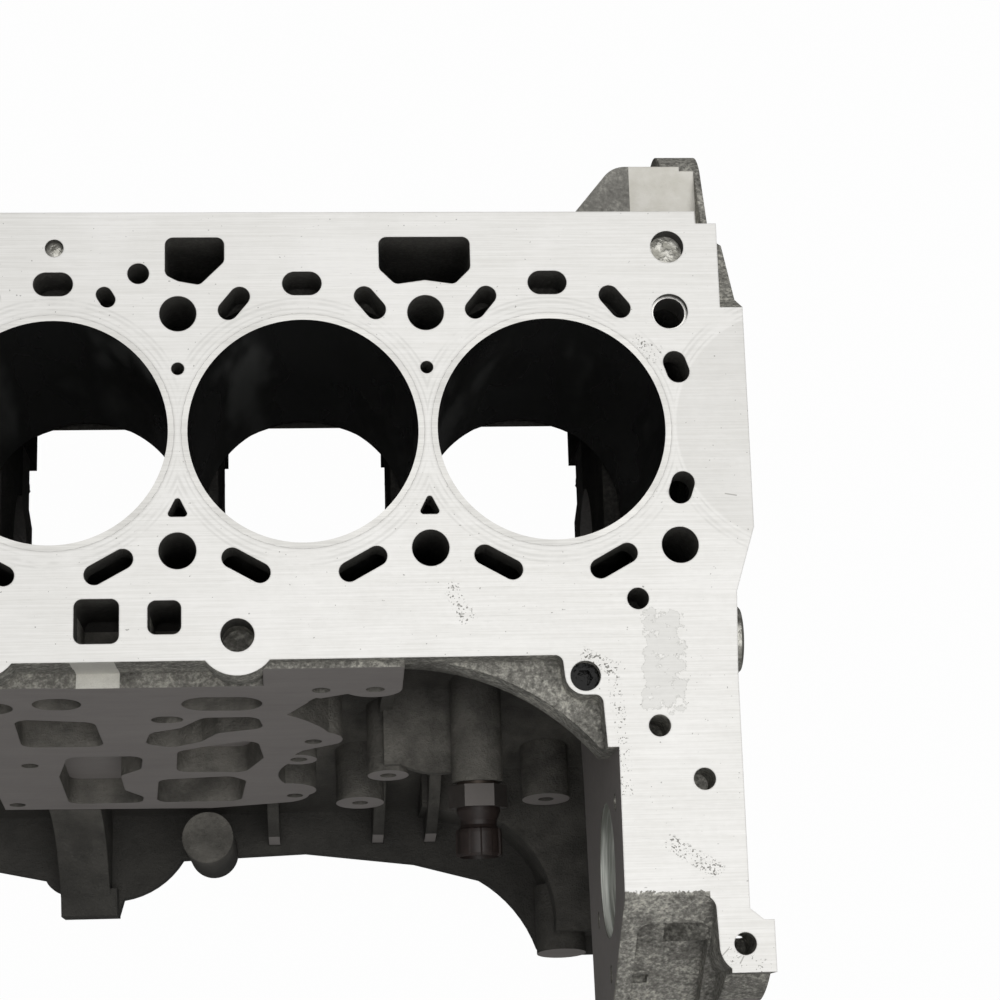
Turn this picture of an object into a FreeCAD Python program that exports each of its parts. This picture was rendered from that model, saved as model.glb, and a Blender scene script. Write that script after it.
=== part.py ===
"""Four-cylinder engine block: a bare casting with its liners, bearing caps and plugs.

Frame: X runs along the crankshaft, with the gearbox end at +X.  The side that carries the
oil-module flange and the pump face looks to -Y.  +Z is up, square to the deck.  The origin is
the crankshaft axis at the middle main bearing.  Millimetres.
"""
import FreeCAD, Part
import math
import os
import Sketcher
from FreeCAD import Placement, Rotation, Vector

# --------------------------------------------------------------------------- driving sizes

SIZES = [
    # cylinders and deck
    ("bore", 84, "cylinder bore, diameter"),
    ("bore_pitch", 91, "between cylinder axes"),
    ("deck_height", 230, "deck above the crankshaft axis"),
    ("deck_plate", 15, "thickness of the closed deck"),
    ("deck_pump_edge", 84.5, "deck edge from the cylinder axes, pump side"),
    ("deck_plain_edge", 83.8, "deck edge from the cylinder axes, plain side"),
    ("liner_wall", 2.2, "wall of the pressed-in liners"),
    ("liner_length", 145, "liner, from the deck down"),
    ("bolt_row", 44.5, "head-bolt rows from the cylinder axes"),
    ("head_bolt_hole", 13.6, "head-bolt hole at the deck, diameter"),
    ("head_bolt_depth", 96, "depth of the head-bolt holes"),
    ("head_bolt_column", 20, "casting round each head bolt, diameter"),
    ("lobe_reach", 75.5, "outer cover-bolt lobes from the cylinder axes"),
    ("lobe_radius", 14.6, "radius of those lobes"),
    ("lobe_hole", 12.2, "hole in those lobes, diameter"),
    ("lobe_offset", 21.3, "each lobe from the main bearing beside it"),
    ("lobe_column", 62, "height of the column under a lobe"),
    # water jacket and its ports
    ("jacket_wall", 5, "casting left between liner and water"),
    ("jacket_gap", 8, "width of the water jacket"),
    ("jacket_depth", 82, "height of the water jacket"),
    ("kidney_x", 21, "front kidney ports from the barrel's axis, along the block"),
    ("kidney_y", 50.1, "front kidney ports from the barrel's axis, across"),
    ("rear_kidney_x", 25, "rear kidney ports from the barrel's axis, along the block"),
    ("rear_kidney_y", 48.4, "rear kidney ports from the barrel's axis, across"),
    ("kidney_width", 7.6, "width of the kidney ports"),
    ("slot_reach", 56, "row of slot ports from the cylinder axes"),
    ("slot_length", 14.6, "length of the slot ports"),
    ("slot_width", 9.2, "width of the slot ports"),
    ("drain_edge", 74, "far edge of the drain ports from the cylinder axes"),
    ("drain_width", 18.5, "drain ports, across the block"),
    ("drain_depth", 166, "drain ports, from the deck into the crank bays"),
    ("cover_hole", 8, "small cover-bolt holes in the deck, diameter"),
    ("cover_hole_depth", 24, "depth of those holes"),
    # crankcase
    ("main_bore", 64, "main bearing housing, diameter"),
    ("web_thickness", 18, "bulkhead under each main bearing"),
    ("rail_drop", 58, "pan rail below the crankshaft axis"),
    ("rail_thickness", 12, "height of the pan rail flange"),
    ("rail_reach", 127, "pan rail edge from the axis, pump side"),
    ("lug_reach", 154.5, "lug of the rail from the axis, pump side"),
    ("column_top", 78, "height of the columns that stiffen the skirt"),
    ("foot_reach", 176, "gearbox-end foot of the rail from the axis"),
    ("plain_rail_reach", 122, "pan rail edge from the axis, plain side"),
    ("bay_half_width", 84, "half width of the crank bays"),
    ("bay_spring", 2, "where the arch of a bay springs from, above the axis"),
    ("bay_crown", 88, "crown of that arch above the axis"),
    ("skirt", 112, "skirt wall from the axis, pump side"),
    ("plain_skirt", 104, "skirt wall from the axis, plain side"),
    ("knee_height", 22, "where the skirt leans in, above the axis"),
    ("shoulder_height", 108, "where the skirt meets the jacket wall"),
    ("knee_inset", 22, "knee of the skirt inside its foot, pump side"),
    ("jacket_side", 66, "jacket wall from the cylinder axes, pump side"),
    ("plain_side", 79, "jacket wall from the cylinder axes, plain side"),
    # ends
    ("timing_overhang", 20, "timing face beyond the first main bearing"),
    ("gearbox_overhang", 27.5, "gearbox face beyond the last main bearing"),
    ("gearbox_step", 8.5, "upper gearbox face set back from the flange"),
    ("flange_thickness", 16, "gearbox flange"),
    ("ear_top", 148, "flat top of the ear on the plain side, above the axis"),
    ("ear_reach", 133, "that ear from the cylinder axes"),
    ("flange_top", 172, "top of the gearbox flange behind the pump housing"),
    # pump housing and the deck arm over it
    ("arm_inner", 25.3, "arm edge inside the last main bearing"),
    ("arm_front", 171, "front edge of the arm's deck from the cylinder axes"),
    ("arm_lug_front", 198.3, "front edge of the arm's corner lug"),
    ("arm_start", 118, "where the arm leaves the gusset"),
    ("housing_front", 213, "front of the pump housing"),
    ("housing_floor", 118, "underside of the pump housing above the axis"),
    ("pump_bore", 50, "pump register, diameter"),
    ("pump_bore_y", 157.5, "pump register from the cylinder axes"),
    ("pump_bore_z", 180, "pump register above the axis"),
    ("pump_wall", 17, "wall behind the pump face"),
    ("case_wall", 9, "walls of the chain case behind that"),
    # oil-module flange on the pump side
    ("lean", 7.5, "lean of the machined side faces, degrees"),
    ("pad_reach", 90, "oil-module face from the cylinder axes at pad_level"),
    ("pad_level", 200, "height at which pad_reach is taken"),
    ("pad_depth", 40, "depth of the oil-module flange"),
    ("port_depth", 15, "depth of the upper oil ports"),
    ("low_port_depth", 11, "depth of the lower oil ports"),
    ("boss_hole", 6.8, "hole in the side bosses, diameter"),
    ("boss_hole_depth", 16, "depth of those holes"),
    ("port_corner", 5.5, "corner radius of the oil ports in that flange"),
    ("deck_corner", 3, "corner radius of the square ports in the deck"),
    ("rib", 5, "thickness of the ribs on the skirt"),
    # loose pieces
    ("cap_half_width", 57.8, "half width of a main bearing cap"),
    ("cap_clearance", 0.05, "between a cap and its register, each side"),
    ("cap_depth", 50, "height of a cap below the axis"),
    ("cap_shoulder", 36, "bolt seat of a cap below the axis"),
    ("cap_relief", 1, "cap set back from each face of its web"),
    ("cap_bolt_row", 45, "cap bolts from the crankshaft axis"),
    ("cap_bolt", 10, "cap bolt, diameter"),
    ("cap_bolt_length", 76, "cap bolt under its head"),
    ("cap_bolt_head", 10, "height of its head and flange"),
    ("cap_bolt_flange", 16, "its flange, diameter"),
    ("hole_clearance", 0.3, "hole over bolt, on the radius"),
    ("switch_x", 115, "oil pressure switch from the middle bearing"),
    ("switch_z", 90, "oil pressure switch above the axis"),
    ("switch_face", 113, "face of the switch boss from the axes"),
    ("switch_boss", 21, "switch boss, diameter"),
    ("switch_thread", 10, "switch thread, diameter"),
    ("switch_reach", 12, "switch thread, length"),
    ("switch_hexagon", 24, "switch hexagon, across corners"),
    ("core_hole", 32, "core plug hole, diameter"),
    ("core_height", 176, "core plugs above the axis"),
    ("plug_wall", 1.6, "sheet of the pressed plugs"),
    ("screw_plug", 11, "screw plug in the deck, diameter"),
    ("small_plug", 6.8, "small pressed plug in the deck, diameter"),
    ("large_plug", 12.5, "large pressed plug in the deck, diameter"),
    ("plug_seat_depth", 12, "depth of the plug seats in the deck"),
    ("gallery_plug", 26, "gallery end plug, diameter"),
    ("gallery_y", 72, "main oil gallery from the cylinder axes"),
    ("gallery_z", 185.5, "main oil gallery above the axis"),
    ("gallery_hole", 18, "gallery hole behind its plug, diameter"),
    ("rail_hole", 6.8, "sump-bolt holes in the pan rail, diameter"),
    ("rail_hole_depth", 9, "depth of those holes, which are blind"),
    ("rail_hole_inset", 8, "those holes from the edge of the rail"),
    ("flange_hole", 11, "gearbox-bolt holes in the flange, diameter"),
    ("dowel_wall", 0.9, "wall of the hollow dowels"),
]

doc = FreeCAD.newDocument("engine_block")
sheet = doc.addObject("Spreadsheet::Sheet", "Dims")
for row, (alias, number, note) in enumerate(SIZES, 1):
    sheet.set("A%d" % row, note)
    sheet.set("B%d" % row, str(number))
    sheet.setAlias("B%d" % row, alias)
doc.recompute()


class Size:
    """A length that knows its value and the sheet formula behind it."""

    def __init__(self, value, text=None):
        self.value = float(value)
        self.text = text or "%.6g" % value

    @staticmethod
    def of(other):
        return other if isinstance(other, Size) else Size(other)

    def join(self, sign, other, value):
        return Size(value, "(%s %s %s)" % (self.text, sign, other.text))

    def __add__(self, other):
        other = Size.of(other)
        return self.join("+", other, self.value + other.value)

    def __sub__(self, other):
        other = Size.of(other)
        return self.join("-", other, self.value - other.value)

    def __mul__(self, other):
        other = Size.of(other)
        return self.join("*", other, self.value * other.value)

    def __truediv__(self, other):
        other = Size.of(other)
        return self.join("/", other, self.value / other.value)

    def __radd__(self, other):
        return Size.of(other) + self

    def __rsub__(self, other):
        return Size.of(other) - self

    def __rmul__(self, other):
        return Size.of(other) * self

    def __neg__(self):
        return Size(0) - self


class Sheet:
    """Every alias of the sheet as a Size."""

    def __init__(self):
        for alias, number, note in SIZES:
            setattr(self, alias, Size(sheet.get(alias), "Dims." + alias))


d = Sheet()


def root(size):
    return Size(math.sqrt(size.value), "sqrt(%s)" % size.text)

# ------------------------------------------------------------------- sketch and body helpers


def new_body(label):
    body = doc.addObject("PartDesign::Body", label)
    body.Label = label
    return body


def bind(thing, name, size):
    thing.setExpression(name, Size.of(size).text)


def new_sketch(body, name, role, up=0, tilt=None, level=0):
    """A sketch on an origin plane of its body, lifted by up along the plane's normal."""
    sketch = body.newObject("Sketcher::SketchObject", name)
    base = next(f for f in body.Origin.OriginFeatures if f.Role == role)
    sketch.AttachmentSupport = [(base, "")]
    sketch.MapMode = "FlatFace"
    if tilt is not None:
        angle = Rotation(Vector(1, 0, 0), -tilt.value)
        sketch.AttachmentOffset = Placement(Vector(0, 0, 0), angle)
        bind(sketch, "AttachmentOffset.Base.y", level)
    bind(sketch, "AttachmentOffset.Base.z", up)
    return sketch


def fix_point(sketch, geo, pos, x, y):
    for kind, size in (("DistanceX", Size.of(x)), ("DistanceY", Size.of(y))):
        index = sketch.addConstraint(Sketcher.Constraint(kind, -1, 1, geo, pos, size.value))
        sketch.setExpression("Constraints[%d]" % index, size.text)


def fix_radius(sketch, geo, radius):
    radius = Size.of(radius)
    index = sketch.addConstraint(Sketcher.Constraint("Radius", geo, radius.value))
    sketch.setExpression("Constraints[%d]" % index, radius.text)


def circle(sketch, x, y, radius):
    x, y, radius = Size.of(x), Size.of(y), Size.of(radius)
    ring = Part.Circle(Vector(x.value, y.value, 0), Vector(0, 0, 1), radius.value)
    geo = sketch.addGeometry(ring, False)
    fix_point(sketch, geo, 3, x, y)
    fix_radius(sketch, geo, radius)


def arc_between(a, b, radius):
    """The shorter arc from a to b; a positive radius turns anticlockwise."""
    chord = b - a
    half = chord.Length / 2
    side = Vector(-chord.y, chord.x, 0).normalize()
    rise = math.sqrt(max(radius * radius - half * half, 0))
    centre = (a + b) / 2 + side * (rise if radius > 0 else -rise)
    first = math.atan2(a.y - centre.y, a.x - centre.x)
    last = math.atan2(b.y - centre.y, b.x - centre.x)
    if radius < 0:
        first, last = last, first
    ring = Part.Circle(centre, Vector(0, 0, 1), abs(radius))
    return Part.ArcOfCircle(ring, first, last if last > first else last + 2 * math.pi)


def outline(sketch, points):
    """A closed profile.  A third value on a point makes the run up to it an arc."""
    points = [(Size.of(p[0]), Size.of(p[1])) + tuple(p[2:]) for p in points]
    spots = [Vector(p[0].value, p[1].value, 0) for p in points]
    shapes = []
    ends = []
    for i, point in enumerate(points):
        start, stop = spots[i - 1], spots[i]
        if len(point) > 2:
            radius = Size.of(point[2])
            shapes.append(arc_between(start, stop, radius.value))
            ends.append((1, 2) if radius.value > 0 else (2, 1))
        else:
            shapes.append(Part.LineSegment(start, stop))
            ends.append((1, 2))
    geos = sketch.addGeometry(shapes, False)
    count = len(points)
    for i in range(count):
        after = (i + 1) % count
        sketch.addConstraint(Sketcher.Constraint(
            "Coincident", geos[i], ends[i][1], geos[after], ends[after][0]))
    for i, point in enumerate(points):
        fix_point(sketch, geos[i], ends[i][1], point[0], point[1])
        if len(point) > 2:
            radius = Size.of(point[2])
            fix_radius(sketch, geos[i], radius if radius.value > 0 else -radius)


def rounded_outline(sketch, points, radius):
    """A closed outline of straight runs with every corner rounded, as far as its runs allow."""
    radius = Size.of(radius)
    run = []
    for i, (x, y) in enumerate(points):
        corner = Vector(Size.of(x).value, Size.of(y).value, 0)
        sides = []
        for other in (points[i - 1], points[(i + 1) % len(points)]):
            sides.append(Vector(Size.of(other[0]).value, Size.of(other[1]).value, 0) - corner)
        half_angle = sides[0].getAngle(sides[1]) / 2
        room = 0.45 * min(side.Length for side in sides) * math.tan(half_angle)
        rounding = radius if radius.value <= room else Size(room)
        back = rounding / math.tan(half_angle)
        left_turn = sides[1].cross(sides[0]).z > 0
        for side in sides:
            side.normalize()
        run.append((x + back * sides[0].x, y + back * sides[0].y))
        run.append((x + back * sides[1].x, y + back * sides[1].y,
                    rounding if left_turn else -rounding))
    outline(sketch, run)


def box_outline(sketch, x0, y0, x1, y1):
    outline(sketch, [(x0, y0), (x1, y0), (x1, y1), (x0, y1)])


def slot(sketch, start, stop, width):
    """A round-ended slot between two end centres."""
    start = [Size.of(v) for v in start]
    stop = [Size.of(v) for v in stop]
    radius = Size.of(width) / 2
    a = Vector(start[0].value, start[1].value, 0)
    b = Vector(stop[0].value, stop[1].value, 0)
    normal = Vector(a.y - b.y, b.x - a.x, 0).normalize()
    turn = math.atan2(normal.y, normal.x)
    out = normal * radius.value
    up = Vector(0, 0, 1)
    geos = sketch.addGeometry([
        Part.ArcOfCircle(Part.Circle(a, up, radius.value), turn, turn + math.pi),
        Part.LineSegment(a - out, b - out),
        Part.ArcOfCircle(Part.Circle(b, up, radius.value), turn + math.pi, turn + 2 * math.pi),
        Part.LineSegment(b + out, a + out)], False)
    for i in range(4):
        sketch.addConstraint(Sketcher.Constraint(
            "Tangent", geos[i], 2, geos[(i + 1) % 4], 1))
    sketch.addConstraint(Sketcher.Constraint("Equal", geos[0], geos[2]))
    fix_radius(sketch, geos[0], radius)
    fix_point(sketch, geos[0], 3, start[0], start[1])
    fix_point(sketch, geos[2], 3, stop[0], stop[1])


def solid_volume(body):
    return body.Shape.Volume if body.Shape and not body.Shape.isNull() else 0.0


def pad(body, sketch, length, reverse=False):
    before = solid_volume(body)
    feature = body.newObject("PartDesign::Pad", sketch.Name + "_pad")
    feature.Profile = sketch
    feature.Reversed = reverse
    bind(feature, "Length", length)
    doc.recompute()
    if not feature.Shape.Volume > before:
        raise ValueError("%s added nothing" % feature.Name)
    return feature


def pocket(body, sketch, length):
    before = solid_volume(body)
    feature = body.newObject("PartDesign::Pocket", sketch.Name + "_cut")
    feature.Profile = sketch
    bind(feature, "Length", length)
    doc.recompute()
    if not feature.Shape.Volume < before:
        raise ValueError("%s removed nothing" % feature.Name)
    return feature


TURNS = {"XY_Plane": Rotation(), "XZ_Plane": Rotation(Vector(1, 0, 0), 90),
         "YZ_Plane": Rotation(Vector(1, 1, 1), 120)}


def free_sketch(name, role, up=0, tilt=None, level=0):
    """The same planes for a sketch that belongs to no body, for a core or a drilling."""
    sketch = doc.addObject("Sketcher::SketchObject", name)
    turn = TURNS[role]
    if tilt is not None:
        turn = turn * Rotation(Vector(1, 0, 0), -tilt.value)
    sketch.Placement = Placement(Vector(0, 0, 0), turn)
    axis, sign = {"XY_Plane": ("z", 1), "XZ_Plane": ("y", -1), "YZ_Plane": ("x", 1)}[role]
    bind(sketch, "Placement.Base." + axis, Size.of(up) * sign)
    if tilt is not None:
        bind(sketch, "Placement.Base.z", level)
    return sketch


def extrude(sketch, length, forward=False):
    """A solid run from a sketch, against its normal unless told to go forward."""
    feature = doc.addObject("Part::Extrusion", sketch.Name + "_run")
    feature.Base = sketch
    feature.DirMode = "Normal"
    feature.Solid = True
    bind(feature, "LengthFwd" if forward else "LengthRev", length)
    return feature


def combine(kind, name, *parts):
    """A boolean of several objects: Part::MultiFuse of all, or Part::Cut of the first two."""
    feature = doc.addObject(kind, name)
    if kind == "Part::MultiFuse":
        feature.Shapes = list(parts)
    elif kind == "Part::Compound":
        feature.Links = list(parts)
    else:
        feature.Base, feature.Tool = parts
    return feature


def edges_where(feature, test):
    return ["Edge%d" % i for i, edge in enumerate(feature.Shape.Edges, 1) if test(edge)]


def round_edges(body, name, radius, test, kind="Fillet"):
    feature = body.Tip
    names = edges_where(feature, test)
    if not names:
        raise ValueError("%s found no edge" % name)
    rounding = body.newObject("PartDesign::" + kind, name)
    rounding.Base = (feature, names)
    bind(rounding, "Radius" if kind == "Fillet" else "Size", radius)
    doc.recompute()
    return rounding


def any_of(*tests):
    return lambda edge: any(test(edge) for test in tests)


def lengthwise(y, z):
    """A test for the straight edges along X at y, z."""
    def test(edge):
        box = edge.BoundBox
        slim = box.YLength < 0.01 and box.ZLength < 0.01 and box.XLength > 1
        return slim and abs(box.Center.y - Size.of(y).value) < 0.05 and \
            abs(box.Center.z - Size.of(z).value) < 0.05
    return test


# --------------------------------------------------------------------- places along the block

CYLINDERS = [d.bore_pitch * k for k in (-1.5, -0.5, 0.5, 1.5)]
BEARINGS = [d.bore_pitch * k for k in (-2, -1, 0, 1, 2)]
timing_face = -(2 * d.bore_pitch) - d.timing_overhang
gearbox_face = 2 * d.bore_pitch + d.gearbox_overhang
stepped_face = gearbox_face - d.gearbox_step
arm_x = 2 * d.bore_pitch - d.arm_inner
seat_radius = d.bore / 2 + d.liner_wall
rail_level = -d.rail_drop

# ------------------------------------------------------------------------- the block casting

block = new_body("casting_form")

# Barrel and skirt: one cross-section run along the crankshaft.  The skirt leans out from the
# jacket walls to the pan rail.
section = new_sketch(block, "section", "YZ_Plane", timing_face)
outline(section, [
    (-d.jacket_side, d.deck_height),
    (-d.jacket_side, d.shoulder_height),
    (-d.skirt + d.knee_inset, d.knee_height),
    (-d.skirt, rail_level),
    (d.plain_skirt, rail_level),
    (d.plain_skirt - 4, d.knee_height),
    (d.plain_side, d.knee_height + 45),
    (d.plain_side, d.deck_height)])
pad(block, section, stepped_face - timing_face)
round_edges(block, "skirt_rounds", 24, any_of(
    lengthwise(-d.jacket_side, d.shoulder_height),
    lengthwise(-d.skirt + d.knee_inset, d.knee_height),
    lengthwise(d.plain_skirt - 4, d.knee_height),
    lengthwise(d.plain_side, d.knee_height + 45)))

# Pan rail: the flange that the sump bolts to, with a lug on the pump side and a foot that
# spreads to the gearbox flange.
rail = new_sketch(block, "rail", "XY_Plane", rail_level)
outline(rail, [
    (timing_face, d.plain_rail_reach),
    (timing_face, -d.rail_reach - 3),
    (-98, -d.rail_reach - 5),
    (-74, -d.rail_reach - 10),
    (-67, -d.rail_reach - 16, 9),
    (-66, -d.lug_reach),
    (-41, -d.lug_reach + 1),
    (-39, -d.lug_reach + 8),
    (-12, -d.rail_reach - 2, 38),
    (44, -d.rail_reach),
    (94, -d.rail_reach - 6),
    (124, -d.rail_reach - 14),
    (150, -d.foot_reach + 3, -60),
    (160, -d.foot_reach),
    (gearbox_face, -d.foot_reach),
    (gearbox_face, d.plain_rail_reach)])
pad(block, rail, d.rail_thickness)

# Gearbox-end corner of the skirt, which flares out over the foot.
corner = new_sketch(block, "corner", "XY_Plane", rail_level)
outline(corner, [
    (96, -d.skirt + 30),
    (96, -d.skirt),
    (132, -d.skirt - 8),
    (154, -d.foot_reach + 8, -52),
    (stepped_face, -d.foot_reach + 8),
    (stepped_face, -d.skirt + 30)])
pad(block, corner, d.rail_drop)

# Starter boss on that corner, faced like the others.
starter = new_sketch(block, "starter_boss", "XZ_Plane", d.foot_reach + 1, d.lean, -20)
circle(starter, 158, 0, 11)
pad(block, starter, 30, reverse=True)

# Oil-module flange: a thick pad whose machined face leans back, with its ports sunk in it.
pad_face = {"up": d.pad_reach, "tilt": d.lean, "level": d.pad_level}
module = new_sketch(block, "oil_module", "XZ_Plane", **pad_face)
outline(module, [
    (-84, -176),
    (-84, -2),
    (-40, 3, -70),
    (40, 3),
    (60, 3),
    (62, -9, -9),
    (46, -20, 14),
    (38, -36),
    (54, -62, -60),
    (58, -78, -12),
    (44, -88),
    (40, -104, 20),
    (36, -140, 40),
    (46, -160, -12),
    (38, -172, -14),
    (4, -180)])
pad(block, module, d.pad_depth, reverse=True)

shoulder = new_sketch(block, "module_shoulder", "XY_Plane", d.deck_height - d.deck_plate)
outline(shoulder, [
    (-84, -d.jacket_side + 4),
    (-84, -d.deck_pump_edge + 4),
    (-78, -d.deck_pump_edge + 0.5),
    (36, -d.deck_pump_edge + 0.5),
    (48, -d.jacket_side + 4, 26)])
pad(block, shoulder, d.deck_plate + 6, reverse=True)

# Bosses for the bracket beside it, faced to the same plane as the oil module.
BOSSES = [(71, -4, 8.6), (42, -102, 7.4), (79, -130, 8.6), (68, -176, 10.4),
          (149, -176, 10.4)]
boss_row = new_sketch(block, "bracket_bosses", "XZ_Plane", **pad_face)
for x, level, radius in BOSSES:
    circle(boss_row, x, level, radius)
pad(block, boss_row, d.pad_depth, reverse=True)

# Boss of the oil pressure switch, square to the crankshaft.
switch_boss = new_sketch(block, "switch_boss", "XZ_Plane", d.switch_face)
circle(switch_boss, d.switch_x, d.switch_z, d.switch_boss / 2)
pad(block, switch_boss, d.switch_face - d.jacket_side + 6, reverse=True)

# Round column that stiffens the skirt above the rail.
columns = new_sketch(block, "skirt_columns", "XY_Plane", rail_level)
circle(columns, 2, -d.rail_reach + 1, 11)
pad(block, columns, d.column_top)

# Ear of the gearbox flange on the plain side.
ear = new_sketch(block, "ear", "XY_Plane", 0)
outline(ear, [
    (142, d.plain_side - 10),
    (146, d.plain_side + 5),
    (157, d.ear_reach - 20),
    (170, d.ear_reach - 4),
    (179, d.ear_reach, -11),
    (stepped_face, d.ear_reach),
    (stepped_face, d.plain_side - 10)])
pad(block, ear, d.ear_top)

# Gearbox flange.
flange = new_sketch(block, "gearbox_flange", "YZ_Plane", gearbox_face)
outline(flange, [
    (-d.foot_reach, rail_level),
    (-208, 10, -150),
    (-d.housing_front, d.housing_floor),
    (-d.housing_front + 6, 190),
    (-d.arm_lug_front, d.deck_height - 14, -60),
    (-d.arm_lug_front, d.deck_height),
    (-183, d.deck_height),
    (-178, d.flange_top),
    (-46, d.flange_top),
    (-38, d.deck_height),
    (46, d.deck_height),
    (54, 214),
    (84, 190),
    (96, 164),
    (131, 148),
    (144, 118, -30),
    (150, 40, -260),
    (d.plain_rail_reach + 4, rail_level, -160)])
pad(block, flange, d.flange_thickness, reverse=True)

# Pump housing under the deck arm: a box with a sloping rough front.
housing_knee = Size(172)
housing = new_sketch(block, "pump_housing", "YZ_Plane", arm_x)
outline(housing, [
    (-d.jacket_side + 6, d.housing_floor - 26),
    (-d.jacket_side + 6, d.deck_height),
    (-d.arm_front, d.deck_height),
    (-d.housing_front, housing_knee),
    (-d.housing_front, d.housing_floor + 6),
    (-d.arm_start, d.housing_floor - 8)])
pad(block, housing, stepped_face - arm_x)

# Curved gusset between the front wall and the pump housing, just under the deck.
gusset = new_sketch(block, "gusset", "XY_Plane", d.deck_height - d.deck_plate - 18)
outline(gusset, [
    (60, -d.jacket_side + 6),
    (70, -d.deck_pump_edge + 1),
    (arm_x - 4, -d.arm_start, -96),
    (arm_x + 4, -d.arm_start),
    (arm_x + 4, -d.jacket_side + 6)])
pad(block, gusset, 20)

# Deck: closed plate with round lobes for the cover bolts, and the arm over the pump housing.
LOBES = [d.bore_pitch * k + d.lobe_offset for k in (-2, -1, 0)]
lobe_half = root(d.lobe_radius * d.lobe_radius
                 - (d.deck_pump_edge - d.lobe_reach) * (d.deck_pump_edge - d.lobe_reach))
deck = new_sketch(block, "deck", "XY_Plane", d.deck_height)
deck_edge = [
    (timing_face, d.deck_plain_edge),
    (stepped_face - 8, d.deck_plain_edge),
    (stepped_face - 7, 54),
    (stepped_face + 2, 46, 9),
    (gearbox_face, 46),
    (gearbox_face, -38),
    (stepped_face + 1, -62),
    (stepped_face, -90),
    (stepped_face, -176),
    (gearbox_face, -183),
    (gearbox_face, -d.arm_lug_front),
    (gearbox_face - 13, -d.arm_lug_front),
    (gearbox_face - 20, -d.arm_lug_front + 10, -10),
    (gearbox_face - 20.5, -d.arm_front - 5),
    (gearbox_face - 25, -d.arm_front, 5),
    (arm_x, -d.arm_front),
    (arm_x, -d.arm_start),
    (arm_x - 4, -d.arm_start),
    (arm_x - 5, -102),
    (arm_x - 8, -99, 3),
    (arm_x - 11, -99),
    (arm_x - 18.5, -92, -7.4),
    (arm_x - 19, -87),
    (arm_x - 22, -d.deck_pump_edge, 3)]
for lobe in reversed(LOBES):
    deck_edge.append((lobe + lobe_half, -d.deck_pump_edge))
    deck_edge.append((lobe - lobe_half, -d.deck_pump_edge, -d.lobe_radius))
deck_edge.append((timing_face, -d.deck_pump_edge))
outline(deck, deck_edge)
pad(block, deck, d.deck_plate, reverse=True)

lobe_columns = new_sketch(block, "lobe_columns", "XY_Plane", d.deck_height)
for lobe in LOBES:
    circle(lobe_columns, lobe, -d.lobe_reach, d.lobe_radius - 1)
pad(block, lobe_columns, d.lobe_column, reverse=True)

# Corner columns that carry the arm's lug and its inner screw down to the castings below.
lug = new_sketch(block, "lug_column", "XY_Plane", d.deck_height)
outline(lug, [
    (gearbox_face, -180),
    (gearbox_face, -d.arm_lug_front),
    (gearbox_face - 13, -d.arm_lug_front),
    (gearbox_face - 20, -d.arm_lug_front + 10, -10),
    (gearbox_face - 20, -d.arm_front + 6),
    (stepped_face - 2, -d.arm_front + 6),
    (stepped_face - 2, -180)])
pad(block, lug, d.deck_height - d.flange_top + 4, reverse=True)

# ---------------------------------------------------------------- ribs and webs of the skirt

RIBS = []


def rib(sketch, length, forward=False):
    RIBS.append(extrude(sketch, length, forward))


# Web that carries the rail's lug up to the oil-module flange, thicker at the lug.
lug_web = free_sketch("lug_web", "YZ_Plane", -44)
outline(lug_web, [
    (-d.skirt + 30, rail_level),
    (-d.lug_reach, rail_level),
    (-d.lug_reach, rail_level + 17),
    (-d.skirt - 1, d.knee_height - 2, 90),
    (-d.skirt + 30, d.knee_height - 2)])
rib(lug_web, 22)
lug_end = free_sketch("lug_end", "YZ_Plane", -41)
outline(lug_end, [
    (-d.lug_reach + 12, rail_level),
    (-d.lug_reach, rail_level),
    (-d.lug_reach, rail_level + 20),
    (-d.lug_reach + 12, rail_level + 24)])
rib(lug_end, 25)

# Upright ribs between the skirt and the rail.
SKIRT_RIBS = (-160, -118, 30, 77, 101)
for number, x in enumerate(SKIRT_RIBS, 1):
    upright = free_sketch("skirt_rib_%d" % number, "YZ_Plane", x + d.rib / 2)
    outline(upright, [
        (-d.skirt + 30, d.knee_height + 12),
        (-d.skirt + d.knee_inset - 6, d.knee_height + 12),
        (-d.rail_reach + 3, rail_level + 4, 150),
        (-d.skirt + 30, rail_level + 4)])
    rib(upright, d.rib)

# Thick edge under the deck that carries the flange's two top bosses.
top_bosses = free_sketch("top_boss_body", "XZ_Plane", **pad_face)
outline(top_bosses, [
    (30, -6),
    (51, -14.5),
    (61, -9),
    (71, -14, 12),
    (81, -4, 10.5),
    (81, 24),
    (30, 24)])
top_boss_run = extrude(top_bosses, d.pad_depth)
bind(top_boss_run, "LengthRev", d.pad_depth)
RIBS.append(top_boss_run)

# Level web between the bracket boss and the switch boss, with a hollowed front edge.
web = free_sketch("switch_web", "XY_Plane", d.switch_z - 6)
outline(web, [
    (77, -d.jacket_side + 6),
    (77, -d.switch_face + 9),
    (84, -d.switch_face + 9),
    (d.switch_x - 7, -d.switch_face + 6, 34),
    (d.switch_x - 4, -d.jacket_side + 6)])
rib(web, 7)

# Upright rib from that boss to the deck.
brace = free_sketch("deck_brace", "XZ_Plane", d.deck_pump_edge - 3)
box_outline(brace, 75.5, 68, 75.5 + d.rib, d.deck_height - 20)
rib(brace, 24)

casting = combine("Part::MultiFuse", "ribbed_casting", block, *RIBS)

# ------------------------------------------------------------ cores and drillings of the block

CORES = []


def core(sketch, depth, forward=False):
    """What a core or a drill takes out of the casting, from a sketch."""
    feature = extrude(sketch, depth, forward)
    CORES.append(feature)
    return feature


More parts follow.
